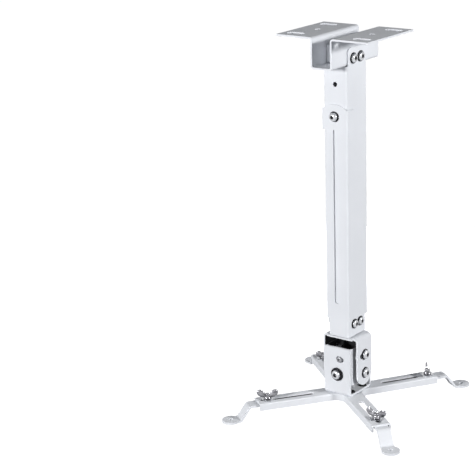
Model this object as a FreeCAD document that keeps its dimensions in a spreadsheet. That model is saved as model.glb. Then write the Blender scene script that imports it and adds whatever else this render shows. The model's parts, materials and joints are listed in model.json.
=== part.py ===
import FreeCAD, Part
import math
import os
import Sketcher

# A projector mount for a ceiling: a folded hat bracket, a telescopic rectangular column,
# a swivel, tilt and roll head, and a four-armed spider with sliding, swinging legs.
# Millimetres. +Z is up, the origin is the middle of the ceiling plane, the front is -Y.

doc = FreeCAD.newDocument("projector_mount")
sheet = doc.addObject("Spreadsheet::Sheet", "sheet")

# Driving dimensions: one named cell each. Heights are depths below the ceiling plane.
sizes = {
    # ceiling bracket, one folded sheet
    "bracket_length": 92, "bracket_width": 116, "bracket_depth": 34, "sheet_thick": 2,
    "bracket_bend": 3.5,
    "slot_spacing_across": 84, "slot_spacing_along": 63.4, "slot_long": 21, "slot_wide": 10,
    "middle_hole_spacing": 70, "middle_hole_bore": 6,
    # column: outer tube, seated over the bracket's webs, and inner tube
    "tube_width": 30, "tube_deep": 40, "tube_wall": 1.5, "tube_corner": 2.6, "seat_gap": 0.1, "slide_gap": 0.3,
    "ear_depth": 14, "ear_width": 34, "ear_corner": 5, "outer_tube_long": 288.5,
    "inner_tube_above": 11, "inner_tube_show": 20.7, "rivet_hole_depth": 54, "rivet_hole_bore": 5.4,
    "guide_slot_above": 4, "guide_slot_below": 18.5, "guide_slot_wide": 6.4,
    # cross screws at the two ends of the column
    "hanger_bolt_depth": 26, "hanger_bolt_spacing": 14, "hanger_head_dia": 10,
    "column_bolt_up": 14.2, "column_bolt_spacing": 11.6, "column_head_dia": 9.2,
    "cross_bolt_dia": 6, "cross_head_high": 3.6, "cross_nut_flats": 10, "cross_nut_high": 5,
    "bolt_tip": 1.2, "spacer_deep": 40, "spacer_depth": 12,
    # clamp on the guide slot
    "clamp_depth": 89, "saddle_up": 13, "saddle_down": 15, "saddle_wrap": 10.5, "saddle_thick": 1.6,
    "saddle_gap": 0.2, "saddle_bend": 0.8, "saddle_arch": 26, "clamp_screw_dia": 6, "clamp_head_dia": 9.6,
    "clamp_head_high": 5.5, "clamp_nut_side": 12, "clamp_nut_high": 5,
    # swivel
    "swivel_seat_high": 22, "swivel_seat_long": 30, "swivel_bolt_dia": 8, "swivel_washer_dia": 24,
    "swivel_washer_thick": 1.2, "swivel_nut_flats": 13, "swivel_nut_high": 4, "swivel_head_high": 4.5,
    # upper yoke
    "yoke_width": 46, "yoke_thick": 2, "yoke_bend": 4, "yoke_flange_wide": 29, "yoke_plate_wide": 34,
    "yoke_plate_long": 34,
    # gimbal axes and block
    "axis_drop": 43.5, "head_clear": 11.5, "block_long": 38, "block_wall": 2, "block_corner": 4,
    "block_down": 12, "tilt_lock_inset": 10, "tilt_slot_swing": 15.5, "roll_lock_inset": 13,
    "roll_lock_turn": 11,
    "roll_slot_swing": 6.5, "gimbal_bolt_dia": 6, "gimbal_head_dia": 10.5, "gimbal_head_high": 4.2,
    "gimbal_nut_flats": 10, "gimbal_nut_high": 5, "bush_dia": 12, "bush_long": 3.9, "roll_washer_dia": 15.5,
    "roll_washer_thick": 1.2,
    "lock_screw_dia": 5, "lock_head_dia": 7, "lock_head_high": 2.4, "lock_slack": 0.4,
    # lower yoke
    "cradle_overhang": 0.2, "cradle_down": 24.5, "cradle_bend": 3.2, "cradle_gap": 0.5,
    # spider
    "arm_angle_right": 56.5, "arm_angle_far": 141, "arm_angle_left": 233.5, "arm_angle_near": 322.5,
    "arm_long": 109, "arm_wide": 22, "arm_thick": 2, "arm_edge": 1.5, "skirt_deep": 8, "skirt_wall": 2,
    "hub_round": 12, "arm_slot_start": 41.5, "arm_slot_margin": 4, "arm_slot_wide": 7,
    "hub_bolt_dia": 8, "hub_nut_flats": 13, "hub_nut_high": 5, "hub_head_dia": 16, "hub_head_high": 4,
    # legs, their nuts, and wing screws
    "leg_wide": 15, "leg_thick": 2.5, "leg_tail": 9, "leg_flat": 22, "leg_slope": 11, "leg_drop": 15.6,
    "leg_reach": 44, "foot_dia": 20, "foot_bore": 5.2, "leg_nut_dia": 11, "leg_nut_high": 4,
    "wing_screw_dia": 6, "wing_washer_dia": 14, "wing_washer_thick": 1.2, "wing_hub_dia": 10,
    "wing_hub_top": 8, "wing_hub_high": 7, "wing_span": 28.5, "wing_root_low": 1.6, "wing_tip_low": 5,
    "wing_tip_high": 11.5, "wing_root_high": 6, "wing_thick": 2.4, "wing_flare": 4,
    "set_back_right": 8, "set_back_far": 12, "set_back_left": 12, "set_back_near": 15.5,
    "wing_turn_right": 127.5, "wing_turn_far": 80, "wing_turn_left": 37.5, "wing_turn_near": 5,
    # fits
    "turn_gap": 0.05, "face_gap": 0.1, "bolt_slack": 0.2, "socket_share": 0.42,
}
for row, (alias, number) in enumerate(sizes.items(), start=1):
    sheet.set(f"A{row}", alias.replace("_", " "))
    sheet.set(f"B{row}", str(number))
    sheet.setAlias(f"B{row}", alias)
doc.recompute()

# Sizes worked out from the cells, written once and used by name in every binding below.
derived = {
    "hat_wide": "sheet.tube_width - 2 * sheet.tube_wall - 2 * sheet.seat_gap",
    "inner_wide": "sheet.tube_width - 2 * sheet.tube_wall - 2 * sheet.slide_gap",
    "inner_deep": "sheet.tube_deep - 2 * sheet.tube_wall - 2 * sheet.slide_gap",
    "seat_wide": "sheet.tube_width - 4 * sheet.tube_wall - 2 * sheet.slide_gap - 2 * sheet.seat_gap",
    "outer_tube_end": "sheet.bracket_depth + sheet.outer_tube_long",
    "inner_tube_start": "sheet.clamp_depth - sheet.inner_tube_above",
    "inner_tube_end": "sheet.outer_tube_end + sheet.inner_tube_show",
    "guide_slot_start": "sheet.clamp_depth - sheet.guide_slot_above",
    "guide_slot_end": "sheet.outer_tube_end - sheet.guide_slot_below",
    "column_bolt_depth": "sheet.inner_tube_end - sheet.column_bolt_up",
    "yoke_top": "sheet.inner_tube_end + sheet.swivel_washer_thick + sheet.face_gap",
    "axis_depth": "sheet.yoke_top + sheet.axis_drop",
    "block_width": "sheet.yoke_width - 2 * sheet.yoke_thick - 2 * sheet.bush_long - 2 * sheet.face_gap",
    "block_up": "sheet.axis_drop - sheet.head_clear",
    "cradle_up": "sheet.block_up",
    "tilt_lock_reach": "sheet.block_up - sheet.tilt_lock_inset",
    "roll_lock_reach": "sheet.block_up - sheet.roll_lock_inset",
    "cradle_width": "sheet.block_width + 2 * sheet.cradle_overhang",
    "cradle_long": "sheet.block_long + 2 * sheet.cradle_gap + 2 * sheet.sheet_thick",
    "spider_top": "sheet.axis_depth + sheet.cradle_down",
    "spider_under": "sheet.axis_depth + sheet.cradle_down + sheet.arm_thick",
    "spider_foot": "sheet.axis_depth + sheet.cradle_down + sheet.skirt_deep",
    "arm_slot_end": "sheet.arm_long - sheet.arm_slot_margin",
    "reach_right": "sheet.arm_long - sheet.set_back_right",
    "reach_far": "sheet.arm_long - sheet.set_back_far",
    "reach_left": "sheet.arm_long - sheet.set_back_left",
    "reach_near": "sheet.arm_long - sheet.set_back_near",
}
first_row = len(sizes) + 1
for row, (alias, formula) in enumerate(derived.items(), start=first_row):
    sheet.set(f"A{row}", alias.replace("_", " "))
    sheet.set(f"B{row}", "=" + formula.replace("sheet.", ""))
    sheet.setAlias(f"B{row}", alias)
doc.recompute()

axis_turns = {
    "x": FreeCAD.Rotation(FreeCAD.Vector(0, 1, 0), 90),
    "y": FreeCAD.Rotation(FreeCAD.Vector(1, 0, 0), -90),
    "z": FreeCAD.Rotation(),
}


def bound(text):
    """Puts the sheet's name before each alias in an expression."""
    words = []
    word = ""
    for letter in str(text) + " ":
        if letter.isalnum() or letter == "_":
            word += letter
            continue
        known = word in sizes or word in derived
        words.append("sheet." + word if known else word)
        words.append(letter)
        word = ""
    return "".join(words).strip()


def value(text):
    """The number that an expression gives now."""
    number = sheet.evalExpression(bound(text))
    return float(getattr(number, "Value", number))


def bind(item, **sizes_by_property):
    for name, text in sizes_by_property.items():
        item.setExpression(name, bound(text))
    return item


def place(item, x=0, y=0, z=0):
    """Binds an object's position to expressions of the sheet's cells."""
    for axis, text in (("x", x), ("y", y), ("z", z)):
        item.setExpression("Placement.Base." + axis, bound(text))
    return item


def box(long, wide, high, x=0, y=0, z=0):
    """A box centred on x and y, standing on z."""
    item = bind(doc.addObject("Part::Box", "block"), Length=long, Width=wide, Height=high)
    return place(item, f"({x}) - ({long}) / 2", f"({y}) - ({wide}) / 2", z)


def rod(dia, long, x=0, y=0, z=0, along="z"):
    """A cylinder from a point, along +X, +Y or +Z."""
    item = bind(doc.addObject("Part::Cylinder", "rod"), Radius=f"({dia}) / 2", Height=long)
    item.Placement = FreeCAD.Placement(FreeCAD.Vector(), axis_turns[along])
    return place(item, x, y, z)


def hexagon(flats, long, x=0, y=0, z=0, along="z"):
    """A six-sided prism from a point, along +X, +Y or +Z."""
    item = doc.addObject("Part::Prism", "prism")
    item.Polygon = 6
    bind(item, Circumradius=f"({flats}) / 2 / cos(30deg)", Height=long)
    item.Placement = FreeCAD.Placement(FreeCAD.Vector(), axis_turns[along])
    return place(item, x, y, z)


def fuse(*items):
    item = doc.addObject("Part::MultiFuse", "joined")
    item.Shapes = list(items)
    item.Refine = True
    return item


def cut(base, *tools):
    item = doc.addObject("Part::Cut", "cut")
    item.Base = base
    item.Tool = tools[0] if len(tools) == 1 else fuse(*tools)
    item.Refine = True
    return item


def common(base, tool):
    item = doc.addObject("Part::Common", "trimmed")
    item.Base = base
    item.Tool = tool
    return item


def rounded(base, radius, chosen):
    """Rounds the edges for which chosen(edge) holds."""
    doc.recompute()
    item = doc.addObject("Part::Fillet", "rounded")
    item.Base = base
    reach = value(radius)
    item.Edges = [(number, reach, reach) for number, edge in enumerate(base.Shape.Edges, 1) if chosen(edge)]
    return item


def named(item, label):
    item.Label = label
    subparts.append(item)
    return item


def group(items, label):
    """Identical pieces that stay separate solids in one node."""
    item = doc.addObject("Part::Compound", "group")
    item.Links = list(items)
    return named(item, label)


def straight_along(edge, axis):
    """True for a straight edge along one of the axes."""
    if edge.Curve.TypeId != "Part::GeomLine":
        return False
    run = edge.tangentAt(edge.FirstParameter)
    return abs(abs(getattr(run, axis)) - 1) < 1e-6


def middle(edge):
    return edge.CenterOfMass


def folded(name, plane, corners, length, bends):
    """A folded sheet: a closed outline with its bends rounded, carried both ways from its plane.

    corners are pairs of expressions. bends gives the outline's bent corners, from their index
    to their radius, as an expression.
    """
    body = doc.addObject("PartDesign::Body", name)
    outline = body.newObject("Sketcher::SketchObject", name + "_outline")
    outline.AttachmentSupport = [(next(f for f in body.Origin.OriginFeatures if f.Role == plane), "")]
    outline.MapMode = "FlatFace"
    points = [FreeCAD.Vector(value(x), value(y), 0) for x, y in corners]
    count = len(points)
    for index in range(count):
        outline.addGeometry(Part.LineSegment(points[index], points[(index + 1) % count]))
    for index in range(count):
        outline.addConstraint(Sketcher.Constraint("Coincident", index, 2, (index + 1) % count, 1))
    for index, (x, y) in enumerate(corners):
        for kind, text, number in (("DistanceX", x, points[index].x), ("DistanceY", y, points[index].y)):
            constraint = outline.addConstraint(Sketcher.Constraint(kind, -1, 1, index, 1, number))
            outline.setExpression(f"Constraints[{constraint}]", bound(text))
    pad = body.newObject("PartDesign::Pad", name + "_sheet")
    pad.Profile = outline
    pad.Midplane = True
    bind(pad, Length=length)
    doc.recompute()
    spots = {index: outline.Placement.multVec(points[index]) for index in bends}
    for radius in sorted(set(bends.values())):
        here = [spots[index] for index in bends if bends[index] == radius]
        normal = outline.Placement.Rotation.multVec(FreeCAD.Vector(0, 0, 1))
        chosen = []
        for number, edge in enumerate(body.Tip.Shape.Edges, 1):
            run = edge.tangentAt(edge.FirstParameter)
            if edge.Curve.TypeId != "Part::GeomLine" or run.cross(normal).Length > 1e-6:
                continue
            if any((middle(edge) - spot).cross(normal).Length < 1e-4 for spot in here):
                chosen.append(f"Edge{number}")
        before = body.Tip
        bend = body.newObject("PartDesign::Fillet", name + "_bend")
        bend.Base = (before, chosen)
        bind(bend, Radius=radius)
        doc.recompute()
    return body


def tube(wide, deep, wall, corner, start, end):
    """A rectangular tube standing on Z between two depths, with rounded corners."""
    high = f"({end}) - ({start})"
    outside = rounded(box(wide, deep, high, z=f"-({end})"), corner, lambda edge: straight_along(edge, "z"))
    bore = box(f"({wide}) - 2 * ({wall})", f"({deep}) - 2 * ({wall})", high, z=f"-({end})")
    inside = rounded(bore, f"({corner}) - ({wall})", lambda edge: straight_along(edge, "z"))
    return cut(outside, inside)


def button_screw(dia, head_dia, head_high, grip, along, sign, x=0, y=0, z=0):
    """A round-headed screw with a hexagon socket. Its head stands outwards from the point."""
    spot = {"x": x, "y": y, "z": z}

    def at(step):
        moved = dict(spot)
        moved[along] = f"({spot[along]}) + ({sign}) * ({step})"
        return moved

    def start(low, high):
        return at(low) if sign > 0 else at(high)

    head = rod(head_dia, head_high, along=along, **start("0", head_high))
    far = value(at(head_high)[along])
    head = rounded(head, f"({head_high}) * 0.55", lambda edge: abs(getattr(middle(edge), along) - far) < 1e-4)
    shank = rod(dia, grip, along=along, **start(f"-({grip})", "0"))
    depth = f"({head_high}) * 0.6"
    flats = f"({head_dia}) * socket_share"
    socket = hexagon(flats, depth, along=along, **start(f"({head_high}) * 0.4", head_high))
    return cut(fuse(head, shank), socket)


def nut(flats, high, bore, x=0, y=0, z=0, along="z"):
    """A hexagon nut with a plain bore."""
    return cut(hexagon(flats, high, x, y, z, along), rod(bore, high, x, y, z, along))


def bolt_hole(dia):
    return f"({dia}) + bolt_slack"


subparts = []
pair = (1, -1)


# Ceiling bracket: a hat section with two flanges, two webs and a bottom

def ceiling_bracket():
    out = "bracket_width / 2"
    web = "hat_wide / 2"
    inner = "hat_wide / 2 - sheet_thick"
    right = [(inner, "0"), (out, "0"), (out, "-sheet_thick"), (web, "-sheet_thick"), (web, "-bracket_depth")]
    left = [(f"-({x})", z) for x, z in reversed(right)]
    well = "-bracket_depth + sheet_thick"
    corners = right + left + [(f"-({inner})", well), (inner, well)]
    small = "bracket_bend - sheet_thick"
    bends = {0: "bracket_bend", 3: small, 4: "bracket_bend", 5: "bracket_bend", 6: small, 9: "bracket_bend"}
    bends.update({10: small, 11: small})
    hat = folded("ceiling_bracket_sheet", "XZ_Plane", corners, "bracket_length", bends)
    tools = []
    for side in pair:
        for end in pair:
            across = f"{side} * slot_spacing_across / 2"
            along = f"{end} * slot_spacing_along / 2"
            straight = "slot_long - slot_wide"
            tools.append(box(straight, "slot_wide", "sheet_thick", across, along, "-sheet_thick"))
            for tip in pair:
                end_across = f"{across} + {tip} * ({straight}) / 2"
                tools.append(rod("slot_wide", "sheet_thick", end_across, along, "-sheet_thick"))
        hole_across = f"{side} * middle_hole_spacing / 2"
        tools.append(rod("middle_hole_bore", "sheet_thick", hole_across, 0, "-sheet_thick"))
        across = f"{side} * hanger_bolt_spacing / 2"
        tools.append(rod(bolt_hole("cross_bolt_dia"), "hat_wide", "-hat_wide / 2", across,
                         "-hanger_bolt_depth", "x"))
    return named(cut(hat, *tools), "ceiling_bracket")


def hanger_spacer():
    wide = "hat_wide - 2 * sheet_thick - 2 * seat_gap"
    end = "bracket_depth - bracket_bend"
    sleeve = tube(wide, "spacer_deep", "tube_wall", "tube_corner", "spacer_depth", end)
    holes = [rod(bolt_hole("cross_bolt_dia"), wide, f"-({wide}) / 2", f"{side} * hanger_bolt_spacing / 2",
                 "-hanger_bolt_depth", "x") for side in pair]
    return named(cut(sleeve, *holes), "hanger_spacer")


# Column

def outer_tube():
    whole = tube("tube_width", "tube_deep", "tube_wall", "tube_corner", "ear_depth", "outer_tube_end")
    ear_high = "bracket_depth - ear_depth"
    tools = []
    for end in pair:
        cheek = "(tube_deep - ear_width) / 2"
        cheek_middle = f"{end} * (tube_deep / 2 - ({cheek}) / 2)"
        tools.append(box("tube_width", cheek, ear_high, 0, cheek_middle, "-bracket_depth"))
        tools.append(rod(bolt_hole("cross_bolt_dia"), "tube_width", "-tube_width / 2",
                         f"{end} * hanger_bolt_spacing / 2", "-hanger_bolt_depth", "x"))
    slot_high = "guide_slot_end - guide_slot_start - guide_slot_wide"
    front = "-tube_deep / 2"
    tools.append(box("guide_slot_wide", "2 * tube_wall", slot_high, 0, front,
                     "-guide_slot_end + guide_slot_wide / 2"))
    for depth in ("guide_slot_start + guide_slot_wide / 2", "guide_slot_end - guide_slot_wide / 2"):
        tools.append(rod("guide_slot_wide", "2 * tube_wall", 0, f"{front} - tube_wall", f"-({depth})", "y"))
    tools.append(rod("rivet_hole_bore", "2 * tube_wall", 0, f"{front} - tube_wall", "-rivet_hole_depth", "y"))
    shaped = cut(whole, *tools)
    doc.recompute()
    top = -value("ear_depth")

    def ear_corners(edge):
        spot = middle(edge)
        at_top = abs(spot.z - top) < 1e-4
        return straight_along(edge, "x") and at_top and abs(abs(spot.y) - value("ear_width / 2")) < 1e-4

    return named(rounded(shaped, "ear_corner", ear_corners), "outer_tube")


def cross_screws(label, depth, spacing, wide):
    """Two screws right through the column, heads on the right, nuts on the left."""
    grip = f"({wide}) + cross_nut_high + bolt_tip"
    screws = []
    nuts = []
    for side in pair:
        y = f"{side} * ({spacing}) / 2"
        z = f"-({depth})"
        screws.append(button_screw("cross_bolt_dia", f"{label}_head_dia", "cross_head_high", grip, "x", 1,
                                   f"({wide}) / 2", y, z))
        nuts.append(nut("cross_nut_flats", "cross_nut_high", bolt_hole("cross_bolt_dia"),
                        f"-({wide}) / 2 - cross_nut_high", y, z, "x"))
    group(screws, label + "_screws")
    group(nuts, label + "_nuts")


def inner_tube():
    whole = tube("inner_wide", "inner_deep", "tube_wall", "tube_corner", "inner_tube_start", "inner_tube_end")
    tools = [rod(bolt_hole("clamp_screw_dia"), "2 * tube_wall", 0, "-inner_deep / 2 - tube_wall / 2",
                 "-clamp_depth", "y")]
    for side in pair:
        tools.append(rod(bolt_hole("cross_bolt_dia"), "inner_wide", "-inner_wide / 2",
                         f"{side} * column_bolt_spacing / 2", "-column_bolt_depth", "x"))
    return named(cut(whole, *tools), "inner_tube")


def clamp():
    """Saddle on the outer tube's front, its screw through the guide slot, and the nut behind it."""
    inner = "tube_width / 2 + saddle_gap"
    outer = "tube_width / 2 + saddle_gap + saddle_thick"
    face = "-tube_deep / 2 - saddle_gap"
    front = "-tube_deep / 2 - saddle_gap - saddle_thick"
    back = "-tube_deep / 2 + saddle_wrap"
    corners = [(f"-({outer})", front), (outer, front), (outer, back), (inner, back), (inner, face)]
    corners += [(f"-({inner})", face), (f"-({inner})", back), (f"-({outer})", back)]
    large = "saddle_thick + saddle_bend"
    small = "saddle_bend"
    high = "saddle_up + saddle_down"
    channel = folded("clamp_saddle_sheet", "XY_Plane", corners, high, {0: large, 1: large, 4: small, 5: small})
    place(channel, 0, 0, "-clamp_depth - (saddle_down - saddle_up) / 2")
    arch = rod("2 * saddle_arch", "tube_deep", 0, "-tube_deep", "-clamp_depth + saddle_up - saddle_arch", "y")
    hole = rod(bolt_hole("clamp_screw_dia"), "tube_deep", 0, "-tube_deep", "-clamp_depth", "y")
    named(cut(common(channel, arch), hole), "clamp_saddle")
    grip = "saddle_thick + saddle_gap + slide_gap + 2 * tube_wall + clamp_nut_high + bolt_tip"
    screw = button_screw("clamp_screw_dia", "clamp_head_dia", "clamp_head_high", grip, "y", -1, 0, front,
                         "-clamp_depth")
    named(screw, "clamp_screw")
    seat = "-inner_deep / 2 + tube_wall"
    block = box("clamp_nut_side", "clamp_nut_high", "clamp_nut_side", 0, f"{seat} + clamp_nut_high / 2",
                "-clamp_depth - clamp_nut_side / 2")
    bore = rod(bolt_hole("clamp_screw_dia"), "clamp_nut_high", 0, seat, "-clamp_depth", "y")
    named(cut(block, bore), "clamp_nut")


# Swivel at the foot of the column

def swivel():
    out = "seat_wide / 2"
    inner = "seat_wide / 2 - sheet_thick"
    foot = "-inner_tube_end"
    floor = "-inner_tube_end + sheet_thick"
    top = "-inner_tube_end + swivel_seat_high"
    corners = [(f"-({out})", foot), (out, foot), (out, top), (inner, top), (inner, floor)]
    corners += [(f"-({inner})", floor), (f"-({inner})", top), (f"-({out})", top)]
    small = "bracket_bend - sheet_thick"
    bends = {0: "bracket_bend", 1: "bracket_bend", 4: small, 5: small}
    seat = folded("swivel_seat_sheet", "XZ_Plane", corners, "swivel_seat_long", bends)
    holes = [rod(bolt_hole("swivel_bolt_dia"), "sheet_thick", 0, 0, foot)]
    for side in pair:
        holes.append(rod(bolt_hole("cross_bolt_dia"), "seat_wide", "-seat_wide / 2",
                         f"{side} * column_bolt_spacing / 2", "-column_bolt_depth", "x"))
    named(cut(seat, *holes), "swivel_seat")
    under = f"{foot} - swivel_washer_thick"
    washer = rod("swivel_washer_dia", "swivel_washer_thick", 0, 0, under)
    washer_hole = rod(bolt_hole("swivel_bolt_dia"), "swivel_washer_thick", 0, 0, under)
    named(cut(washer, washer_hole), "swivel_washer")
    nut_top = "-yoke_top - yoke_thick - face_gap"
    tip = f"{nut_top} - swivel_nut_high - bolt_tip"
    shank = rod("swivel_bolt_dia", f"({floor}) - ({tip})", 0, 0, tip)
    named(fuse(hexagon("swivel_nut_flats", "swivel_head_high", 0, 0, floor), shank), "swivel_bolt")
    named(nut("swivel_nut_flats", "swivel_nut_high", bolt_hole("swivel_bolt_dia"), 0, 0,
              f"{nut_top} - swivel_nut_high"), "swivel_nut")


# Upper yoke: a plate under the column with two side flanges

def arc_slot(reach, swing, wide, turn, along, start, long):
    """Solid of a curved slot about the gimbal axis: a ring sector with round ends."""
    low = value(turn) - value(swing)
    high = value(turn) + value(swing)
    radius = value(reach)
    half = value(wide) / 2
    depth = value("axis_depth")

    def spot(angle, distance):
        turned = math.radians(angle)
        sideways = distance * math.sin(turned)
        up = distance * math.cos(turned) - depth
        if along == "x":
            return FreeCAD.Vector(value(start), sideways, up)
        return FreeCAD.Vector(sideways, value(start), up)

    mid = (low + high) / 2
    outside = Part.Arc(spot(low, radius + half), spot(mid, radius + half), spot(high, radius + half)).toShape()
    inside = Part.Arc(spot(high, radius - half), spot(mid, radius - half), spot(low, radius - half)).toShape()

    def round_end(angle, beyond):
        side = spot(angle + beyond, radius)
        return Part.Arc(spot(angle, radius + half), side, spot(angle, radius - half)).toShape()

    beyond = math.degrees(half / radius)
    first = round_end(high, beyond)
    last = round_end(low, -beyond)
    wire = Part.Wire(Part.__sortEdges__([outside, first, inside, last]))
    run = FreeCAD.Vector(value(long), 0, 0) if along == "x" else FreeCAD.Vector(0, value(long), 0)
    item = doc.addObject("Part::Feature", "arc_slot")
    item.Shape = Part.Face(wire).extrude(run)
    return item


def upper_yoke():
    out = "yoke_width / 2"
    inner = "yoke_width / 2 - yoke_thick"
    top = "-yoke_top"
    under = "-yoke_top - yoke_thick"
    foot = "-axis_depth - yoke_flange_wide / 2"
    corners = [(f"-({out})", foot), (f"-({out})", top), (out, top), (out, foot), (inner, foot), (inner, under)]
    corners += [(f"-({inner})", under), (f"-({inner})", foot)]
    small = "yoke_bend - yoke_thick"
    bends = {1: "yoke_bend", 2: "yoke_bend", 5: small, 6: small}
    arch = folded("upper_yoke_sheet", "XZ_Plane", corners, "yoke_flange_wide", bends)
    plate = box("yoke_plate_wide", "yoke_plate_long", "yoke_thick", 0, 0, under)
    whole = fuse(arch, plate)
    doc.recompute()
    low = value(foot)

    def foot_corners(edge):
        return straight_along(edge, "x") and abs(middle(edge).z - low) < 1e-4

    whole = rounded(whole, "yoke_flange_wide / 2 - 0.2", foot_corners)
    tools = [rod("swivel_bolt_dia + 2 * turn_gap", "yoke_thick", 0, 0, under)]
    tools.append(rod("gimbal_bolt_dia + 2 * turn_gap", "yoke_width", "-yoke_width / 2", 0, "-axis_depth", "x"))
    tools.append(arc_slot("tilt_lock_reach", "tilt_slot_swing", "gimbal_bolt_dia + 2 * lock_slack", "0", "x",
                          "-yoke_width / 2", "yoke_width"))
    return named(cut(whole, *tools), "upper_yoke")


# Gimbal block: an open frame that tilts in the upper yoke and carries the lower yoke

def gimbal_block():
    frame = tube("block_width", "block_long", "block_wall", "block_corner", "axis_depth - block_up",
                 "axis_depth + block_down")
    lock_up = "tilt_lock_reach - axis_depth"
    tools = []
    for z in ("-axis_depth", lock_up):
        tools.append(rod(bolt_hole("gimbal_bolt_dia"), "block_width", "-block_width / 2", 0, z, "x"))
    tools.append(rod(bolt_hole("gimbal_bolt_dia"), "block_long", 0, "-block_long / 2", "-axis_depth", "y"))
    x = "roll_lock_reach * sin(roll_lock_turn * 1deg)"
    z = "roll_lock_reach * cos(roll_lock_turn * 1deg) - axis_depth"
    tools.append(rod(bolt_hole("lock_screw_dia"), "block_long", x, "-block_long / 2", z, "y"))
    named(cut(frame, *tools), "gimbal_block")


def tilt_fasteners():
    """Pivot screws on the tilt axis and lock screws in the curved slots, with bushes and nuts."""
    head_seat = "yoke_width / 2 + face_gap"
    block_face = "block_width / 2"
    grip = f"({head_seat}) - ({block_face}) + block_wall + gimbal_nut_high + bolt_tip"
    for label, z in (("tilt_pivot", "-axis_depth"), ("tilt_lock", "tilt_lock_reach - axis_depth")):
        screws = []
        nuts = []
        bushes = []
        for side in pair:
            seat = f"{side} * ({head_seat})"
            screws.append(button_screw("gimbal_bolt_dia", "gimbal_head_dia", "gimbal_head_high", grip,
                                       "x", side, seat, 0, z))
            inside = f"{block_face} - block_wall"
            nut_start = f"{inside} - gimbal_nut_high" if side > 0 else f"-({inside})"
            nuts.append(nut("gimbal_nut_flats", "gimbal_nut_high", bolt_hole("gimbal_bolt_dia"),
                            nut_start, 0, z, "x"))
            bush_start = block_face if side > 0 else f"-({block_face}) - bush_long"
            bush = rod("bush_dia", "bush_long", bush_start, 0, z, "x")
            bushes.append(cut(bush, rod(bolt_hole("gimbal_bolt_dia"), "bush_long", bush_start, 0, z, "x")))
        group(screws, label + "_screws")
        group(nuts, label + "_nuts")
        group(bushes, label + "_bushes")


def roll_fasteners():
    """Pivot screws and washers on the roll axis, and lock screws in the curved slots."""
    outside = "cradle_long / 2 + face_gap"
    screws = []
    nuts = []
    washers = []
    locks = []
    x = "roll_lock_reach * sin(roll_lock_turn * 1deg)"
    z = "roll_lock_reach * cos(roll_lock_turn * 1deg) - axis_depth"
    for side in pair:
        seat = f"{side} * ({outside} + roll_washer_thick)"
        grip = f"{outside} + roll_washer_thick - block_long / 2 + block_wall + gimbal_nut_high + bolt_tip"
        screws.append(button_screw("gimbal_bolt_dia", "gimbal_head_dia", "gimbal_head_high", grip,
                                   "y", side, 0, seat, "-axis_depth"))
        inside = "block_long / 2 - block_wall"
        nut_start = f"{inside} - gimbal_nut_high" if side > 0 else f"-({inside})"
        nuts.append(nut("gimbal_nut_flats", "gimbal_nut_high", bolt_hole("gimbal_bolt_dia"),
                        0, nut_start, "-axis_depth", "y"))
        washer_start = outside if side > 0 else f"-({outside}) - roll_washer_thick"
        washer = rod("roll_washer_dia", "roll_washer_thick", 0, washer_start, "-axis_depth", "y")
        hole = rod(bolt_hole("gimbal_bolt_dia"), "roll_washer_thick", 0, washer_start, "-axis_depth", "y")
        washers.append(cut(washer, hole))
        lock_grip = f"{outside} - block_long / 2 + block_wall"
        locks.append(button_screw("lock_screw_dia", "lock_head_dia", "lock_head_high", lock_grip,
                                  "y", side, x, f"{side} * ({outside})", z))
    group(screws, "roll_pivot_screws")
    group(nuts, "roll_pivot_nuts")
    group(washers, "roll_washers")
    group(locks, "roll_lock_screws")


# Lower yoke: front and back plates on a bottom

def lower_yoke():
    out = "cradle_long / 2"
    inner = "cradle_long / 2 - sheet_thick"
    foot = "-spider_top"
    floor = "-spider_top + sheet_thick"
    top = "-axis_depth + cradle_up"
    corners = [(f"-({out})", foot), (out, foot), (out, top), (inner, top), (inner, floor)]
    corners += [(f"-({inner})", floor), (f"-({inner})", top), (f"-({out})", top)]
    small = "cradle_bend - sheet_thick"
    bends = {0: "cradle_bend", 1: "cradle_bend", 4: small, 5: small}
    cradle = folded("lower_yoke_sheet", "YZ_Plane", corners, "cradle_width", bends)
    tools = [rod(bolt_hole("hub_bolt_dia"), "sheet_thick", 0, 0, foot)]
    tools.append(rod("gimbal_bolt_dia + 2 * turn_gap", "cradle_long", 0, "-cradle_long / 2",
                     "-axis_depth", "y"))
    tools.append(arc_slot("roll_lock_reach", "roll_slot_swing", "lock_screw_dia + 2 * lock_slack",
                          "roll_lock_turn", "y", "-cradle_long / 2", "cradle_long"))
    return named(cut(cradle, *tools), "lower_yoke")


# Spider: one pressed plate with four slotted arms and a skirt turned down along them

arms = {
    "right": "arm_angle_right",
    "far": "arm_angle_far",
    "left": "arm_angle_left",
    "near": "arm_angle_near",
}


def turned(item, angle):
    """Turns an object about the column's axis by an expression in degrees."""
    spin = FreeCAD.Rotation(FreeCAD.Vector(0, 0, 1), value(angle))
    item.Placement = FreeCAD.Placement(item.Placement.Base, spin)
    item.setExpression("Placement.Rotation.Angle", bound(angle))
    return item


def arm_bar(angle, long, wide, high, start, z):
    """A bar along an arm, from a distance to the column's axis."""
    item = bind(doc.addObject("Part::Box", "arm"), Length=long, Width=wide, Height=high)
    turned(item, angle)
    x = f"cos(({angle}) * 1deg) * ({start}) + sin(({angle}) * 1deg) * ({wide}) / 2"
    y = f"sin(({angle}) * 1deg) * ({start}) - cos(({angle}) * 1deg) * ({wide}) / 2"
    return place(item, x, y, z)


def cross(long, wide, high, z, corner):
    """Four arms in one piece, with their inside corners rounded."""
    whole = fuse(*[arm_bar(angle, long, wide, high, "0", z) for angle in arms.values()])
    doc.recompute()
    near = value(wide) * 1.2

    def inside_corner(edge):
        spot = middle(edge)
        return straight_along(edge, "z") and math.hypot(spot.x, spot.y) < near

    return rounded(whole, corner, inside_corner)


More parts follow.
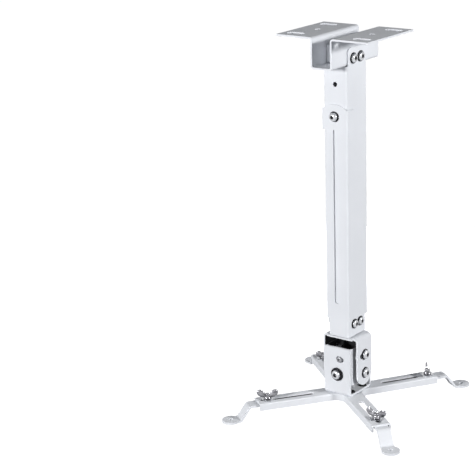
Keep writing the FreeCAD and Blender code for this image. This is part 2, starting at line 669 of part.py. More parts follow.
def spider():
    block = cross("arm_long", "arm_wide", "skirt_deep", "-spider_foot", "hub_round")
    doc.recompute()
    top = -value("spider_top")
    end = value("arm_long") - 1

    def pressed_edge(edge):
        spot = middle(edge)
        return abs(spot.z - top) < 1e-4 and math.hypot(spot.x, spot.y) < end

    block = rounded(block, "arm_edge", pressed_edge)
    hollow = cross("arm_long + skirt_wall", "arm_wide - 2 * skirt_wall", "skirt_deep - arm_thick",
                   "-spider_foot", "hub_round + skirt_wall")
    tools = [hollow, rod(bolt_hole("hub_bolt_dia"), "arm_thick", 0, 0, "-spider_under")]
    for angle in arms.values():
        straight = "arm_slot_end - arm_slot_start - arm_slot_wide"
        begin = "arm_slot_start + arm_slot_wide / 2"
        tools.append(arm_bar(angle, straight, "arm_slot_wide", "arm_thick", begin, "-spider_under"))
        for reach in (begin, "arm_slot_end - arm_slot_wide / 2"):
            x = f"cos(({angle}) * 1deg) * ({reach})"
            y = f"sin(({angle}) * 1deg) * ({reach})"
            tools.append(rod("arm_slot_wide", "arm_thick", x, y, "-spider_under"))
    return named(cut(block, *tools), "spider")


def hub_fasteners():
    head_top = "-spider_under"
    nut_seat = "-spider_top + sheet_thick"
    tip = f"{nut_seat} + hub_nut_high + bolt_tip"
    head = rod("hub_head_dia", "hub_head_high", 0, 0, f"{head_top} - hub_head_high")
    low = value(f"{head_top} - hub_head_high")
    head = rounded(head, "hub_head_high * 0.6", lambda edge: abs(middle(edge).z - low) < 1e-4)
    shank = rod("hub_bolt_dia", f"({tip}) - ({head_top})", 0, 0, head_top)
    named(fuse(head, shank), "hub_bolt")
    named(nut("hub_nut_flats", "hub_nut_high", bolt_hole("hub_bolt_dia"), 0, 0, nut_seat), "hub_nut")


# Legs: strips that slide inside the arms and slope down to an eye, each held by a wing screw

def on_arm(item, angle, reach, turn=None):
    """Moves a piece made at the origin out along an arm."""
    turned(item, turn if turn else angle)
    return place(item, f"cos(({angle}) * 1deg) * ({reach})", f"sin(({angle}) * 1deg) * ({reach})", 0)


def leg(side, angle):
    top = "-spider_under - face_gap"
    under = "-spider_under - face_gap - leg_thick"
    drop = "-spider_under - face_gap - leg_drop"
    sole = "-spider_under - face_gap - leg_drop - leg_thick"
    ankle = "leg_flat + leg_slope"
    shift = "leg_thick * (sqrt(leg_slope * leg_slope + leg_drop * leg_drop) - leg_slope) / leg_drop"
    corners = [("-leg_tail", top), ("-leg_tail", under), ("leg_flat", under), (ankle, sole)]
    corners += [("leg_reach", sole), ("leg_reach", drop)]
    corners += [(f"{ankle} + {shift}", drop), (f"leg_flat + {shift}", top)]
    bends = {2: "leg_thick", 3: "2 * leg_thick", 6: "leg_thick", 7: "2 * leg_thick"}
    strip = folded(f"leg_{side}_strip", "XZ_Plane", corners, "leg_wide", bends)
    foot = rod("foot_dia", "leg_thick", "leg_reach", 0, sole)
    whole = fuse(strip, foot)
    eye = rod("foot_bore", "leg_thick", "leg_reach", 0, sole)
    bore = rod("wing_screw_dia + 2 * turn_gap", "leg_thick", 0, 0, under)
    named(on_arm(cut(whole, eye, bore), angle, f"reach_{side}"), f"leg_{side}")
    collar = rod("leg_nut_dia", "leg_nut_high", 0, 0, f"{under} - leg_nut_high")
    thread = rod("wing_screw_dia + 2 * turn_gap", "leg_nut_high", 0, 0, f"{under} - leg_nut_high")
    named(on_arm(cut(collar, thread), angle, f"reach_{side}"), f"leg_nut_{side}")
    seat = "-spider_top + face_gap"
    disc = rod("wing_washer_dia", "wing_washer_thick", 0, 0, seat)
    hole = rod("wing_screw_dia + 2 * turn_gap", "wing_washer_thick", 0, 0, seat)
    named(on_arm(cut(disc, hole), angle, f"reach_{side}"), f"wing_washer_{side}")


def wing_screw(side, angle):
    seat = "-spider_top + wing_washer_thick + 2 * face_gap"
    tip = "-spider_under - face_gap - leg_thick - leg_nut_high - bolt_tip"
    hub = bind(doc.addObject("Part::Cone", "hub"), Radius1="wing_hub_dia / 2", Radius2="wing_hub_top / 2",
               Height="wing_hub_high")
    place(hub, 0, 0, seat)
    shank = rod("wing_screw_dia", f"({seat}) - ({tip})", 0, 0, tip)
    root = "wing_hub_top / 4"
    corners = [(root, f"{seat} + wing_root_low"), ("wing_hub_dia / 2", f"{seat} + wing_root_low"),
               ("wing_span / 2", f"{seat} + wing_tip_low"), ("wing_span / 2", f"{seat} + wing_tip_high"),
               ("wing_span / 2 - wing_flare", f"{seat} + wing_tip_high"), (root, f"{seat} + wing_root_high")]
    bends = {2: "wing_flare * 0.6", 3: "wing_flare * 0.5", 4: "wing_flare * 0.5"}
    blade = folded(f"wing_{side}_blade", "XZ_Plane", corners, "wing_thick", bends)
    other = doc.addObject("Part::Mirroring", "other_blade")
    other.Source = blade
    other.Normal = (1, 0, 0)
    whole = fuse(hub, shank, blade, other)
    return named(on_arm(whole, angle, f"reach_{side}", f"wing_turn_{side}"), f"wing_screw_{side}")


ceiling_bracket()
hanger_spacer()
outer_tube()
cross_screws("hanger", "hanger_bolt_depth", "hanger_bolt_spacing", "tube_width")
inner_tube()
clamp()
cross_screws("column", "column_bolt_depth", "column_bolt_spacing", "inner_wide")
swivel()
upper_yoke()
gimbal_block()
tilt_fasteners()
roll_fasteners()
lower_yoke()
spider()
hub_fasteners()
for arm_side, arm_angle in arms.items():
    leg(arm_side, arm_angle)
    wing_screw(arm_side, arm_angle)
doc.recompute()

# Nothing is written unless every object recomputed and every shape is sound
faults = [item.Name for item in doc.Objects if "Invalid" in item.State or "Error" in item.State]
for item in subparts:
    if item.Shape.isNull() or not item.Shape.isValid() or not item.Shape.Solids:
        faults.append(item.Label)
if faults:
    raise RuntimeError("failed: " + ", ".join(faults))
os.makedirs("parts", exist_ok=True)
for item in subparts:
    item.Shape.exportStep(f"parts/{item.Label}.step")
    print(item.Label, len(item.Shape.Solids), round(item.Shape.Volume, 1))
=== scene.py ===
import bmesh
import bpy
import json
import math
import numpy as np
from mathutils import Matrix, Vector


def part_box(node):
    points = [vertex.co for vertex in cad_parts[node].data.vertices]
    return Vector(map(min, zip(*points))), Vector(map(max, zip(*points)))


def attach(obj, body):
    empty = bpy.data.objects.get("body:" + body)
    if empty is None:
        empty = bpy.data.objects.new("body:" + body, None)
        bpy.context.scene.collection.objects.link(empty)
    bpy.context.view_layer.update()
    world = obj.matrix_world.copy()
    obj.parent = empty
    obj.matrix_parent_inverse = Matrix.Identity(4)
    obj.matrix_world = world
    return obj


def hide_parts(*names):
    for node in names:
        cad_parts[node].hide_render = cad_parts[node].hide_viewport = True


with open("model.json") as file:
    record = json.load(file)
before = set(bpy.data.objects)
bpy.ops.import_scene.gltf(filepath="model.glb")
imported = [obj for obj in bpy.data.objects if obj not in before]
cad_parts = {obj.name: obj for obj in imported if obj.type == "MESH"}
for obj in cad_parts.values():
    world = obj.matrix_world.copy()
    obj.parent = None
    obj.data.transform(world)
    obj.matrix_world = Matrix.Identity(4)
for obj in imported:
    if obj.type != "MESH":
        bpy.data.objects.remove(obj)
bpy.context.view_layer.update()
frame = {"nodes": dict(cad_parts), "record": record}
nodes = frame["nodes"]
subparts = frame["record"]["subparts"]


# shader helpers: a node is added with its sockets and settings, then joined socket to socket
def newShader(name):
    material = bpy.data.materials.new(name)
    material.use_nodes = True
    tree = material.node_tree
    return material, tree, tree.nodes["Principled BSDF"]


def addNode(tree, kind, sockets=None, **settings):
    node = tree.nodes.new(kind)
    for name, setting in settings.items():
        setattr(node, name, setting)
    for socket, number in (sockets or {}).items():
        node.inputs[socket].default_value = number
    return node


def noiseOn(tree, scale, detail, stretch=(1.0, 1.0, 1.0)):
    where = addNode(tree, "ShaderNodeTexCoord")
    mapping = addNode(tree, "ShaderNodeMapping", {"Scale": stretch})
    tree.links.new(where.outputs["Object"], mapping.inputs["Vector"])
    noise = addNode(tree, "ShaderNodeTexNoise", {"Scale": scale, "Detail": detail})
    tree.links.new(mapping.outputs["Vector"], noise.inputs["Vector"])
    return noise.outputs["Fac"]


noiseRange = {"low": 0.3, "high": 0.7}  # nearly all of a noise lies between these


def colourBetween(tree, factor, low, high):
    ramp = addNode(tree, "ShaderNodeValToRGB")
    first, last = ramp.color_ramp.elements
    first.position = noiseRange["low"]
    last.position = noiseRange["high"]
    first.color = (*low, 1.0)
    last.color = (*high, 1.0)
    tree.links.new(factor, ramp.inputs["Fac"])
    return ramp.outputs["Color"]


def valueBetween(tree, factor, low, high):
    span = addNode(tree, "ShaderNodeMapRange", {
        "From Min": noiseRange["low"], "From Max": noiseRange["high"], "To Min": low, "To Max": high})
    tree.links.new(factor, span.inputs["Value"])
    return span.outputs["Result"]


def bumpFrom(tree, shader, height, distance, strength):
    bump = addNode(tree, "ShaderNodeBump", {"Distance": distance, "Strength": strength})
    tree.links.new(height, bump.inputs["Height"])
    tree.links.new(bump.outputs["Normal"], shader.inputs["Normal"])


# white powder coat: fine orange peel, a faint cloudiness in the colour
powderCoat = {
    "pale": (0.815, 0.83, 0.86), "deep": (0.775, 0.79, 0.82), "cloudScale": 16.0, "cloudDetail": 4.0,
    "peelScale": 900.0, "peelDetail": 2.0, "peelDepth": 0.00006, "peelStrength": 0.06,
    "glossLow": 0.46, "glossHigh": 0.60, "shine": 0.03,
}


# the peel: one fine noise for both roughness and bump
def peelOn(tree, shader, look):
    peel = noiseOn(tree, look["peelScale"], look["peelDetail"])
    gloss = valueBetween(tree, peel, look["glossLow"], look["glossHigh"])
    tree.links.new(gloss, shader.inputs["Roughness"])
    bumpFrom(tree, shader, peel, look["peelDepth"], look["peelStrength"])
    shader.inputs["Specular IOR Level"].default_value = look["shine"]


def whiteCoat(name, look):
    material, tree, shader = newShader(name)
    cloud = noiseOn(tree, look["cloudScale"], look["cloudDetail"])
    colour = colourBetween(tree, cloud, look["deep"], look["pale"])
    tree.links.new(colour, shader.inputs["Base Color"])
    peelOn(tree, shader, look)
    return material


# plated and blackened steel: colour and gloss of each plating, and the drawn streaks that all share
plating = {
    "zinc": {"pale": (0.66, 0.67, 0.69), "deep": (0.40, 0.41, 0.43),
             "glossLow": 0.18, "glossHigh": 0.36, "scale": 260.0},
    "bright": {"pale": (0.38, 0.38, 0.40), "deep": (0.09, 0.09, 0.10),
               "glossLow": 0.14, "glossHigh": 0.30, "scale": 150.0},
    "black": {"pale": (0.032, 0.032, 0.035), "deep": (0.014, 0.014, 0.016),
              "glossLow": 0.28, "glossHigh": 0.42, "scale": 320.0},
    "dull": {"pale": (0.34, 0.345, 0.36), "deep": (0.20, 0.205, 0.22),
             "glossLow": 0.34, "glossHigh": 0.50, "scale": 260.0},
}
drawnStreak = {
    "detail": 5.0, "stretch": (1.0, 1.0, 2.5),
    "grainTimes": 6.0, "grainDetail": 2.0, "grainDepth": 0.00002, "grainStrength": 0.15,
}


def platedSteel(name, look, drawn):
    material, tree, shader = newShader(name)
    streak = noiseOn(tree, look["scale"], drawn["detail"], drawn["stretch"])
    colour = colourBetween(tree, streak, look["deep"], look["pale"])
    tree.links.new(colour, shader.inputs["Base Color"])
    gloss = valueBetween(tree, streak, look["glossLow"], look["glossHigh"])
    tree.links.new(gloss, shader.inputs["Roughness"])
    grain = noiseOn(tree, look["scale"] * drawn["grainTimes"], drawn["grainDetail"])
    bumpFrom(tree, shader, grain, drawn["grainDepth"], drawn["grainStrength"])
    shader.inputs["Metallic"].default_value = 1.0
    return material


# coat outside, painted shade inside: white where the normal times the place, weighed by axis, is above the
# threshold, a near-black painted shade on the inner faces elsewhere
paintedInnerShade = {
    # near-black colour painted on the inner faces as shade
    "colour": (0.030, 0.030, 0.033),
    "on": {
        "gimbal_block": {"weights": (1.0, 1.0, 0.0), "threshold": 0.002},
        "upper_yoke": {"weights": (1.0, 0.0, 0.0), "threshold": -0.004},
        "spider": {"weights": (1.0, 1.0, -0.02), "threshold": -0.006},
    },
}


def coatWithPaintedShadeInside(name, side, insideShadeColour, coatLook):
    material, tree, shader = newShader(name)
    where = addNode(tree, "ShaderNodeTexCoord")
    weighed = addNode(tree, "ShaderNodeVectorMath", {1: side["weights"]}, operation="MULTIPLY")
    tree.links.new(where.outputs["Object"], weighed.inputs[0])
    facing = addNode(tree, "ShaderNodeVectorMath", operation="DOT_PRODUCT")
    tree.links.new(weighed.outputs["Vector"], facing.inputs[0])
    tree.links.new(where.outputs["Normal"], facing.inputs[1])
    outside = addNode(tree, "ShaderNodeMath", {1: side["threshold"]}, operation="GREATER_THAN")
    tree.links.new(facing.outputs["Value"], outside.inputs[0])
    # outer faces get the coat, inner faces the painted shade colour
    colour = colourBetween(tree, outside.outputs["Value"], insideShadeColour, coatLook["pale"])
    tree.links.new(colour, shader.inputs["Base Color"])
    peelOn(tree, shader, coatLook)
    return material


# moulded nylon of the swivel washer
nylon = {
    "pale": (0.045, 0.045, 0.050), "deep": (0.022, 0.022, 0.026), "scale": 700.0, "detail": 3.0,
    "glossLow": 0.5, "glossHigh": 0.65, "grainDepth": 0.00004, "grainStrength": 0.3,
}


def blackNylon(name, look):
    material, tree, shader = newShader(name)
    grain = noiseOn(tree, look["scale"], look["detail"])
    colour = colourBetween(tree, grain, look["deep"], look["pale"])
    tree.links.new(colour, shader.inputs["Base Color"])
    gloss = valueBetween(tree, grain, look["glossLow"], look["glossHigh"])
    tree.links.new(gloss, shader.inputs["Roughness"])
    bumpFrom(tree, shader, grain, look["grainDepth"], look["grainStrength"])
    return material


bright = platedSteel("brightPlate", plating["bright"], drawnStreak)
# black oxide of the washers and rivets, also used as painted shade in the screws' sockets
black = platedSteel("blackOxideAndShade", plating["black"], drawnStreak)
slotFinish = {
    "white_coat": whiteCoat("whiteCoat", powderCoat),
    "zinc_steel": platedSteel("zincPlate", plating["zinc"], drawnStreak),
    "bright_steel": bright,
    "dark_steel": black,
    "dark_plastic": blackNylon("blackNylon", nylon),
}
nodeFinish = {"roll_lock_screws": platedSteel("dullPlate", plating["dull"], drawnStreak)}
# these nodes get painted shade on their inner faces
for node, side in paintedInnerShade["on"].items():
    nodeFinish[node] = coatWithPaintedShadeInside("coatWithShadeInside_" + node, side, paintedInnerShade["colour"], powderCoat)

for part in subparts:
    meshData = nodes[part["node"]].data
    meshData.materials.clear()
    meshData.materials.append(nodeFinish.get(part["node"], slotFinish[part["material_slot"]]))
print("finishes on", len(subparts), "nodes")


# surfaces as whole arrays: a grid of points, rows by columns, closed round its columns
millimetre = 0.001
poleMerge = 1e-7  # points nearer than this, in metres, become one


def gridFaces(rows, columns, start):
    row, column = np.meshgrid(np.arange(rows - 1), np.arange(columns), indexing="ij")
    here = start + row * columns + column
    beside = start + row * columns + (column + 1) % columns
    return np.stack([here, beside, beside + columns, here + columns], axis=-1).reshape(-1, 4)


def surfacePiece(name, grids, finish, body):
    points = []
    faces = []
    start = 0
    for grid in grids:
        rows, columns = grid.shape[:2]
        points.append(grid.reshape(-1, 3))
        faces.append(gridFaces(rows, columns, start))
        start += rows * columns
    data = bpy.data.meshes.new(name)
    data.from_pydata(np.concatenate(points).tolist(), [], np.concatenate(faces).tolist())
    work = bmesh.new()
    work.from_mesh(data)
    bmesh.ops.remove_doubles(work, verts=work.verts, dist=poleMerge)
    bmesh.ops.recalc_face_normals(work, faces=work.faces)
    work.to_mesh(data)
    work.free()
    data.polygons.foreach_set("use_smooth", np.ones(len(data.polygons), dtype=bool))
    data.materials.append(finish)
    piece = bpy.data.objects.new(name, data)
    bpy.context.scene.collection.objects.link(piece)
    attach(piece, body)
    return piece


# the angles of a full turn, one for each column
def turnAngles(columns):
    return np.linspace(0.0, 2.0 * math.pi, columns, endpoint=False)


# a wave with its sign kept and its size raised to a power: below 1 it rounds a circle towards a square
def squarer(wave, power):
    return np.sign(wave) * np.abs(wave) ** power


# a profile of radius and height turned about an upright axis: x = r cos a, y = r sin a, z = h
def turnedGrid(radius, height, columns=40):
    angle = turnAngles(columns)
    level = np.repeat(height[:, None], columns, axis=1)
    return np.stack([radius[:, None] * np.cos(angle), radius[:, None] * np.sin(angle), level], axis=-1)


# a grid in mm turned by an angle in degrees about the upright axis, then moved to a spot in metres
def placedAt(grid, turn, spot):
    angle = math.radians(turn)
    spin = np.array([
        [math.cos(angle), -math.sin(angle), 0.0],
        [math.sin(angle), math.cos(angle), 0.0],
        [0.0, 0.0, 1.0],
    ])
    return grid @ spin.T * millimetre + np.array(spot)


# wing screws: pressed ears on a waisted hub, sizes in mm above the washer, turns in degrees as they were left
wingScrew = {
    "turns": {"right": 127.5, "far": 80.0, "left": 37.5, "near": 5.0}, "lift": 0.1,
    "hubRadius": (0.0, 3.8, 4.4, 4.4, 3.9, 3.3, 3.1, 3.2, 3.2, 2.8, 1.7, 0.0),
    "hubHeight": (0.0, 0.0, 0.4, 1.2, 1.8, 2.7, 3.7, 4.7, 5.4, 5.9, 6.1, 6.1),
    "earOut": 2.0, "earUp": 1.8, "earLong": 12.4, "earLean": 40.0, "flatPower": 0.75,
    "rootHalf": 1.6, "leafHalf": 3.8, "neckTo": 0.50, "roundFrom": 0.62, "rootThick": 1.7, "tipThick": 1.0,
    "shankRadius": 3.0, "shankLow": -11.6, "shankTop": 0.2,
    "threadDepth": 0.45, "pitch": 1.0, "rowsPerPitch": 8, "taperPitches": 0.6, "endShare": 0.72,
}


# a screw thread: the radius falls by the depth times a triangle wave of height over pitch
# less angle over a turn, and it narrows to a share of itself towards both ends
def threadGrid(look, columns=24):
    low = look["shankLow"]
    high = look["shankTop"]
    pitch = look["pitch"]
    height = np.linspace(low, high, int((high - low) / pitch * look["rowsPerPitch"]))
    angle = turnAngles(columns)
    phase = (height[:, None] / pitch - angle / (2.0 * math.pi)) % 1.0
    wide = look["shankRadius"] - look["threadDepth"] * np.abs(2.0 * phase - 1.0)
    fromEnd = np.minimum(height - low, high - height) / (look["taperPitches"] * pitch)
    wide *= np.clip(fromEnd, look["endShare"], 1.0)[:, None]
    level = np.repeat(height[:, None], columns, axis=1)
    shank = np.stack([wide * np.cos(angle), wide * np.sin(angle), level], axis=-1)
    foot = np.broadcast_to(np.array([0.0, 0.0, low]), (1, columns, 3))
    top = np.broadcast_to(np.array([0.0, 0.0, high]), (1, columns, 3))
    return np.concatenate([foot, shank, top])


# an ear: an oval section carried up a leaning line, its half width swelling past a neck
# and closing in a round tip
def earGrid(look, side, rows=26, columns=28):
    way = np.linspace(0.0, 1.0, rows)
    pastRound = np.clip((way - look["roundFrom"]) / (1.0 - look["roundFrom"]), 0.0, 1.0)
    closing = np.sqrt(1.0 - pastRound ** 2)
    pastNeck = np.clip(way / look["neckTo"], 0.0, 1.0)
    swell = pastNeck ** 2 * (3.0 - 2.0 * pastNeck)
    half = (look["rootHalf"] + (look["leafHalf"] - look["rootHalf"]) * swell) * closing
    thick = (look["rootThick"] + (look["tipThick"] - look["rootThick"]) * way) * np.sqrt(closing)
    lean = math.radians(look["earLean"])
    angle = turnAngles(columns)
    along = (way * look["earLong"])[:, None]
    across = half[:, None] * np.sin(angle)
    out = look["earOut"] + along * math.cos(lean) - across * math.sin(lean)
    flat = thick[:, None] * squarer(np.cos(angle), look["flatPower"])
    up = look["earUp"] + along * math.sin(lean) + across * math.cos(lean)
    ear = np.stack([side * out, side * flat, up], axis=-1)
    root = np.broadcast_to(ear[0].mean(axis=0), (1, columns, 3))  # closes the foot inside the hub
    return np.concatenate([root, ear])


def wingScrews(look):
    hub = turnedGrid(np.array(look["hubRadius"]), np.array(look["hubHeight"]))
    grids = [hub, threadGrid(look), earGrid(look, 1.0), earGrid(look, -1.0)]
    for side, turn in look["turns"].items():
        low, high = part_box("wing_washer_" + side)
        spot = ((low[0] + high[0]) / 2, (low[1] + high[1]) / 2, high[2] + look["lift"] * millimetre)
        placed = [placedAt(grid, turn, spot) for grid in grids]
        piece = surfacePiece("wingScrew_" + side, placed, bright, "wing_" + side)
        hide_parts("wing_screw_" + side)


wingScrews(wingScrew)
print("wing screws:", len(wingScrew["turns"]))


# round-headed screws: the body each set rides, the node whose outer face carries the heads, and their facing
screwHeads = {
    "hanger_screws": {"body": "ceiling", "seat": "outer_tube", "along": "x", "signs": (1,)},
    "column_screws": {"body": "inner_column", "seat": "inner_tube", "along": "x", "signs": (1,)},
    "clamp_screw": {"body": "inner_column", "seat": "clamp_saddle", "along": "y", "signs": (-1,)},
    "tilt_pivot_screws": {"body": "tilt_block", "seat": "upper_yoke", "along": "x", "signs": (-1, 1)},
    "tilt_lock_screws": {"body": "tilt_block", "seat": "upper_yoke", "along": "x", "signs": (-1, 1)},
    "roll_pivot_screws": {"body": "tilt_block", "seat": "lower_yoke", "along": "y", "signs": (-1, 1)},
}


# every head of a set: its radius and its height over the seat in mm, and its place on the seat in metres
def headsOf(node):
    place = screwHeads[node]
    low, high = (np.array(corner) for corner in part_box(node))
    axis, side = (0, 1) if place["along"] == "x" else (1, 0)
    middle = (low + high) / 2
    radius = (high[2] - low[2]) / 2
    reach = (high[side] - low[side]) / 2 - radius
    centres = (middle[side],)
    if reach > radius / 2:  # two heads side by side
        centres = (middle[side] - reach, middle[side] + reach)
    heads = []
    for sign in place["signs"]:
        end = 1 if sign > 0 else 0
        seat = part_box(place["seat"])[end][axis]
        top = abs((low, high)[end][axis] - seat)
        for centre in centres:
            heads.append({"radius": radius / millimetre, "top": top / millimetre, "axis": axis, "side": side,
                          "sign": sign, "seat": seat, "centre": centre, "level": middle[2]})
    return heads


# a grid of depth, across and up in mm, laid on a head's seat with its depth pointing outwards
def laidOn(head, grid):
    depth, across, up = np.moveaxis(grid * millimetre, -1, 0)
    points = np.empty_like(grid)
    points[..., head["axis"]] = head["seat"] + head["sign"] * depth
    points[..., head["side"]] = head["centre"] + across
    points[..., 2] = head["level"] + up
    return points


def piecesOnHeads(label, gridOf, look):
    made = 0
    for node, place in screwHeads.items():
        for number, head in enumerate(headsOf(node), 1):
            grid = laidOn(head, gridOf(look, head))
            # black oxide for the washers, painted shade for the socket cups
            surfacePiece(f"{label}_{node}_{number}", [grid], black, place["body"])
            made += 1
    return made


# dark spring washers that show as a rim round the heads, sizes in mm
springWasher = {"clear": 0.08, "rim": 0.95, "thick": 1.1, "lift": 0.05, "splitDegrees": 5.0, "cornerPower": 0.4}


# a washer: a rounded oblong section carried round an arc that stops short of a full turn
def washerGrid(look, head, rows=64, columns=16):
    inner = head["radius"] + look["clear"]
    outer = inner + look["rim"]
    gap = math.radians(look["splitDegrees"])
    way = np.linspace(gap / 2, 2.0 * math.pi - gap / 2, rows)[:, None]
    angle = turnAngles(columns)
    radius = (outer + inner) / 2 + (outer - inner) / 2 * squarer(np.cos(angle), look["cornerPower"])
    depth = look["lift"] + look["thick"] / 2 * (1.0 + squarer(np.sin(angle), look["cornerPower"]))
    deep = np.repeat(depth[None, :], rows, axis=0)
    ring = np.stack([deep, radius * np.cos(way), radius * np.sin(way)], axis=-1)
    first, last = (np.broadcast_to(ring[row].mean(axis=0), (1, columns, 3)) for row in (0, -1))
    return np.concatenate([first, ring, last])


print("spring washers:", piecesOnHeads("springWasher", washerGrid, springWasher))


# painted shade in the heads' sockets, as black cups that stand in for the shade there: shares of the head's
# radius and height, the rest in mm
socketPaintedShade = {"radiusShare": 0.42, "floorShare": 0.4, "clear": 0.06, "wall": 0.25, "lift": 0.15}


# a painted shade cup: a cup's profile, out along the floor, up the wall and back inside it, turned about the
# screw's axis
def socketShadeGrid(look, head, columns=30):
    outer = head["radius"] * look["radiusShare"] - look["clear"]
    inner = outer - look["wall"]
    under = head["top"] * look["floorShare"] + look["lift"]
    floor = under + look["wall"]
    rim = head["top"] - look["clear"]
    wide = np.array([0.0, outer, outer, inner, inner, 0.0])[:, None]
    deep = np.array([under, under, rim, rim, floor, floor])[:, None]
    angle = turnAngles(columns)
    return np.stack([np.repeat(deep, columns, axis=1), wide * np.cos(angle), wide * np.sin(angle)], axis=-1)


# the black cups in the sockets are painted shade, not a part of the screws
print("socket linings:", piecesOnHeads("socketPaintedShade", socketShadeGrid, socketPaintedShade))


# black rivets through the corners of the lower yoke's floor and the spider's plate below it, sizes in mm
floorRivet = {
    "corners": {"rightFar": (1, 1), "leftFar": (-1, 1), "leftNear": (-1, -1), "rightNear": (1, -1)},
    "insetAcross": 4.8, "insetAlong": 9.6, "floorThick": 2.0, "plateThick": 2.0, "shankRadius": 2.0,
    "headRadius": (0.0, 1.8, 3.3, 4.2, 4.6, 4.6), "headHeight": (2.3, 2.15, 1.7, 1.0, 0.3, 0.02),
    "tailRadius": (3.4, 3.4, 3.0, 2.0, 0.0), "tailHeight": (-0.02, -0.9, -1.5, -1.8, -1.8),
}


# a rivet: one profile from the top of the head down the shank to the tail, turned about an upright axis
def floorRivets(look):
    low, high = (np.array(corner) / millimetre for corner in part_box("lower_yoke"))
    floorTop = low[2] + look["floorThick"]
    plateUnder = low[2] - look["plateThick"]
    radius = np.array(look["headRadius"] + 2 * (look["shankRadius"],) + look["tailRadius"])
    head = floorTop + np.array(look["headHeight"])
    tail = plateUnder + np.array(look["tailHeight"])
    grid = turnedGrid(radius, np.concatenate([head, [floorTop, plateUnder], tail]))
    across = high[0] - look["insetAcross"]
    along = high[1] - look["insetAlong"]
    for corner, (signAcross, signAlong) in look["corners"].items():
        spot = (signAcross * across * millimetre, signAlong * along * millimetre, 0.0)
        surfacePiece("floorRivet_" + corner, [placedAt(grid, 0.0, spot)], black, "roll_yoke")


floorRivets(floorRivet)
print("floor rivets:", len(floorRivet["corners"]))


# camera at the photograph's place: azimuth and elevation of its back, a small roll, no shift
photoCamera = {
    "spot": (0.9156, -1.3924, 0.2833), "azimuth": 37.5, "elevation": 17.1, "roll": -1.74,
    "lens": 117.8, "sensor": 36.0, "farthest": 50.0,
}


def cameraAt(view):
    data = bpy.data.cameras.new("photoCamera")
    data.lens = view["lens"]
    data.sensor_width = view["sensor"]
    data.clip_end = view["farthest"]
    camera = bpy.data.objects.new("photoCamera", data)
    bpy.context.scene.collection.objects.link(camera)
    turn, lift, roll = (math.radians(view[key]) for key in ("azimuth", "elevation", "roll"))
    back = Vector((math.sin(turn) * math.cos(lift), -math.cos(turn) * math.cos(lift), math.sin(lift)))
    right = Vector((math.cos(turn), math.sin(turn), 0.0))
    up = back.cross(right)
    rolledRight = right * math.cos(roll) + up * math.sin(roll)
    rolledUp = up * math.cos(roll) - right * math.sin(roll)
    matrix = Matrix((rolledRight, rolledUp, back)).transposed().to_4x4()
    matrix.translation = Vector(view["spot"])
    camera.matrix_world = matrix
    bpy.context.scene.camera = camera


# plain studio: a sky that is pale at the horizon and dim overhead, a pale floor far below, and four lamps:
# a key at the front left, one at the right, a soft fill in front and a low one behind
studio = {
    "skyColour": (0.90, 0.97, 1.08), "skyLow": 0.40, "skyHigh": 0.03, "skyDimFrom": 0.6,
    "floorHeight": -0.80, "floorSize": 12.0,
    "floorColour": (0.22, 0.22, 0.23), "floorRough": 0.9, "floorGlow": 0.95,
    "aim": (0.0, 0.0, -0.2),
    "lamps": {
        "keyLamp": {"spot": (-0.44, -1.75, 0.24), "size": 0.25, "watts": 26.2},
        "sideLamp": {"spot": (1.78, 0.30, 0.43), "size": 0.25, "watts": 27.0},
        "fillLamp": {"spot": (0.9, -2.6, -0.5), "size": 1.8, "watts": 12.0},
        "backLamp": {"spot": (-0.9, 1.75, -0.60), "size": 0.38, "watts": 28.0},
    },
}


def areaLamp(name, lamp, aim):
    data = bpy.data.lights.new(name, "AREA")
    data.energy = lamp["watts"]
    data.size = lamp["size"]
    item = bpy.data.objects.new(name, data)
    bpy.context.scene.collection.objects.link(item)
    item.location = lamp["spot"]
    item.rotation_euler = (Vector(aim) - Vector(lamp["spot"])).to_track_quat("-Z", "Y").to_euler()


# 1 for rays from the camera and for what metal or glass shows, 0 for the light on the part
def seenDirectly(tree):
    path = addNode(tree, "ShaderNodeLightPath")
    first = addNode(tree, "ShaderNodeMath", operation="MAXIMUM")
    second = addNode(tree, "ShaderNodeMath", operation="MAXIMUM")
    tree.links.new(path.outputs["Is Camera Ray"], first.inputs[0])
    tree.links.new(path.outputs["Is Glossy Ray"], first.inputs[1])
    tree.links.new(first.outputs["Value"], second.inputs[0])
    tree.links.new(path.outputs["Is Transmission Ray"], second.inputs[1])
    return second.outputs["Value"]


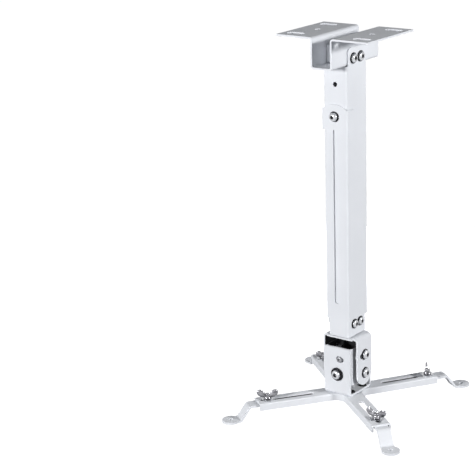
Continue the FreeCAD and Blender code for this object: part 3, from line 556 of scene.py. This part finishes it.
def paleWorld(look):
    world = bpy.data.worlds.new("paleStudio")
    bpy.context.scene.world = world
    world.use_nodes = True
    tree = world.node_tree
    tree.nodes.clear()
    where = addNode(tree, "ShaderNodeTexCoord")
    split = addNode(tree, "ShaderNodeSeparateXYZ")
    tree.links.new(where.outputs["Generated"], split.inputs["Vector"])
    level = addNode(tree, "ShaderNodeMapRange", {
        "From Min": 0.0, "From Max": look["skyDimFrom"], "To Min": look["skyLow"], "To Max": look["skyHigh"]})
    tree.links.new(split.outputs["Z"], level.inputs["Value"])
    light = addNode(tree, "ShaderNodeBackground", {"Color": (*look["skyColour"], 1.0)})
    tree.links.new(level.outputs["Result"], light.inputs["Strength"])
    white = addNode(tree, "ShaderNodeBackground", {"Color": (1.0, 1.0, 1.0, 1.0)})
    mix = addNode(tree, "ShaderNodeMixShader")
    tree.links.new(seenDirectly(tree), mix.inputs["Fac"])
    tree.links.new(light.outputs["Background"], mix.inputs[1])
    tree.links.new(white.outputs["Background"], mix.inputs[2])
    output = addNode(tree, "ShaderNodeOutputWorld")
    tree.links.new(mix.outputs["Shader"], output.inputs["Surface"])


def paleFloor(look):
    half = look["floorSize"] / 2
    corners = np.array([(-half, -half), (half, -half), (half, half), (-half, half)])
    points = np.column_stack([corners, np.full(4, look["floorHeight"])])
    data = bpy.data.meshes.new("floor")
    data.from_pydata(points.tolist(), [], [(0, 1, 2, 3)])
    floor = bpy.data.objects.new("floor", data)
    bpy.context.scene.collection.objects.link(floor)
    material, tree, shader = newShader("paleFloor")
    shader.inputs["Base Color"].default_value = (*look["floorColour"], 1.0)
    shader.inputs["Roughness"].default_value = look["floorRough"]
    glow = addNode(tree, "ShaderNodeEmission", {"Strength": look["floorGlow"]})
    shaded = addNode(tree, "ShaderNodeAddShader")  # the glow whitens the floor and leaves the shadow on it
    tree.links.new(shader.outputs["BSDF"], shaded.inputs[0])
    tree.links.new(glow.outputs["Emission"], shaded.inputs[1])
    mix = addNode(tree, "ShaderNodeMixShader")
    tree.links.new(seenDirectly(tree), mix.inputs["Fac"])
    tree.links.new(shader.outputs["BSDF"], mix.inputs[1])
    tree.links.new(shaded.outputs["Shader"], mix.inputs[2])
    tree.links.new(mix.outputs["Shader"], tree.nodes["Material Output"].inputs["Surface"])
    data.materials.append(material)


cameraAt(photoCamera)
paleWorld(studio)
paleFloor(studio)
for name, lamp in studio["lamps"].items():
    areaLamp(name, lamp, studio["aim"])
bpy.context.scene.view_settings.view_transform = "Standard"
print("studio set:", len(studio["lamps"]), "lamps")
